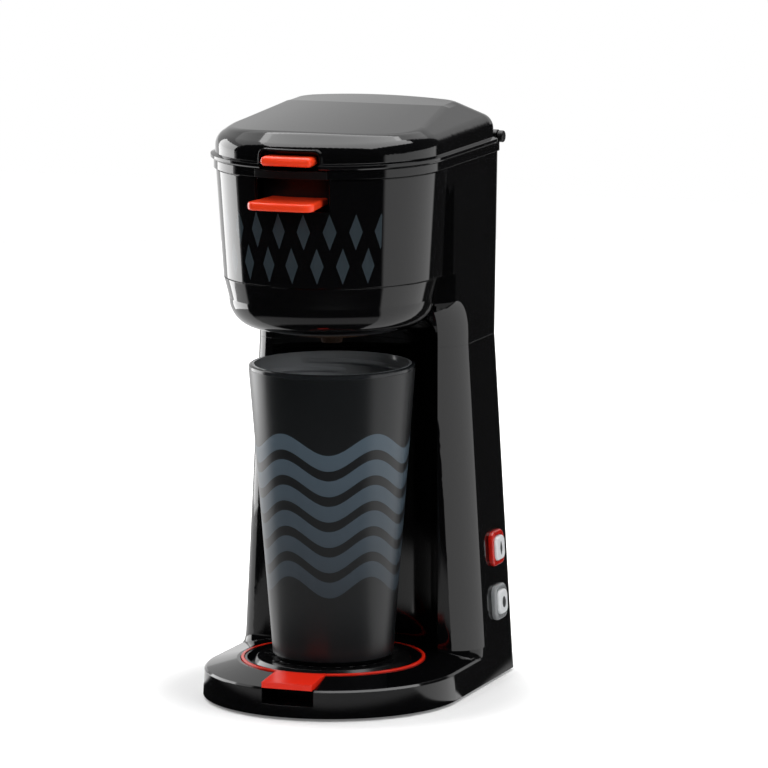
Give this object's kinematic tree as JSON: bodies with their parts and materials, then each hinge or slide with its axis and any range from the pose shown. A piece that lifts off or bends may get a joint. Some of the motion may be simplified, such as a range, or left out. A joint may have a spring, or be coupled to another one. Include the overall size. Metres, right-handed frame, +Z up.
{
  "type": "drip coffee maker",
  "caption": "Compact single-serve drip coffee maker with hinged lid, lift-out brew basket, water tank, drip tray, side push buttons and a tapered travel tumbler under the outlet.",
  "frame": {"origin": "middle of the footprint, on the table plane under the rubber feet", "axes": "+X to the viewer's right (button side), +Y to the back, +Z up"},
  "size_m": [0.1333, 0.168, 0.2981],
  "materials": {
    "black_gloss": "high-gloss black ABS",
    "black_matte": "matt black polypropylene",
    "red_plastic": "semi-gloss orange-red ABS",
    "clear_plastic": "clear polycarbonate",
    "silver_plastic": "silver-grey ABS",
    "smoky_plastic": "smoky brown translucent plastic",
    "tank_plastic": "dark grey moulded polypropylene",
    "charcoal_coat": "matt charcoal with slate-blue bands",
    "dark_liner": "dark grey moulded polypropylene",
    "rubber": "matt rubber",
    "steel": "plain stainless",
    "cast_aluminium": "as cast",
    "board": "green fibreglass laminate",
    "ceramic_white": "glazed ceramic"
  },
  "bodies": {
    "machine": {"base_housing": "black_gloss", "base_plate": "black_matte", "rubber_feet": "rubber", "base_screws": "steel", "head_housing": "black_gloss", "front_cover": "black_gloss", "top_frame": "black_gloss", "hinge_pins": "black_matte", "outlet_dish": "black_gloss", "drip_nozzle": "smoky_plastic", "head_screws": "steel", "reservoir_tank": "tank_plastic", "reservoir_strainer": "tank_plastic", "check_valve": "tank_plastic", "cold_hose": "rubber", "heater_casting": "cast_aluminium", "heater_bracket": "steel", "thermostat": "steel", "thermal_fuse": "ceramic_white", "hot_riser": "cast_aluminium", "riser_seal": "rubber", "control_board": "board", "tact_switches": "board", "led_lamps": "clear_plastic", "button_bezel_upper": "red_plastic", "button_bezel_lower": "clear_plastic", "cord_gland": "rubber"},
    "lid": {"lid_shell": "black_gloss", "lid_liner": "black_matte", "lid_gasket": "rubber", "lid_pull_bar": "red_plastic", "needle_holder": "black_matte", "upper_needle": "steel"},
    "basket": {"brew_basket": "black_matte", "basket_handle": "red_plastic", "capsule_holder": "black_matte", "lower_needle": "steel"},
    "tray": {"drip_tray": "red_plastic", "drip_grate": "black_matte"},
    "tumbler": {"mug_shell": "charcoal_coat", "mug_liner": "dark_liner", "mug_base_pad": "rubber"},
    "button_upper": {"button_cap_upper": "silver_plastic"},
    "button_lower": {"button_cap_lower": "silver_plastic"}
  },
  "joints": [
    {"name": "lid_hinge", "type": "hinge", "parent": "machine", "child": "lid", "pos_m": [0, 0.0805, 0.276], "axis": [-1, 0, 0], "range_deg": [0, 95]},
    {"name": "basket_lift", "type": "slide", "parent": "machine", "child": "basket", "axis": [0, 0, 1], "range_m": [0, 0.062]},
    {"name": "tray_lift", "type": "slide", "parent": "machine", "child": "tray", "axis": [0, 0, 1], "range_m": [0, 0.0086]},
    {"name": "tumbler_slide", "type": "slide", "parent": "tray", "child": "tumbler", "axis": [0, -1, 0], "range_m": [0, 0.15]},
    {"name": "button_upper_press", "type": "slide", "parent": "machine", "child": "button_upper", "axis": [-0.9984, 0, -0.0562], "range_m": [0, 0.0015], "stiffness_N_per_m": 400},
    {"name": "button_lower_press", "type": "slide", "parent": "machine", "child": "button_lower", "axis": [-0.9984, 0, -0.0562], "range_m": [0, 0.0015], "stiffness_N_per_m": 400}
  ],
  "couplings": [
    {"joint": "basket_lift", "follows": "lid_hinge", "m_per_rad": 0.0373}
  ]
}
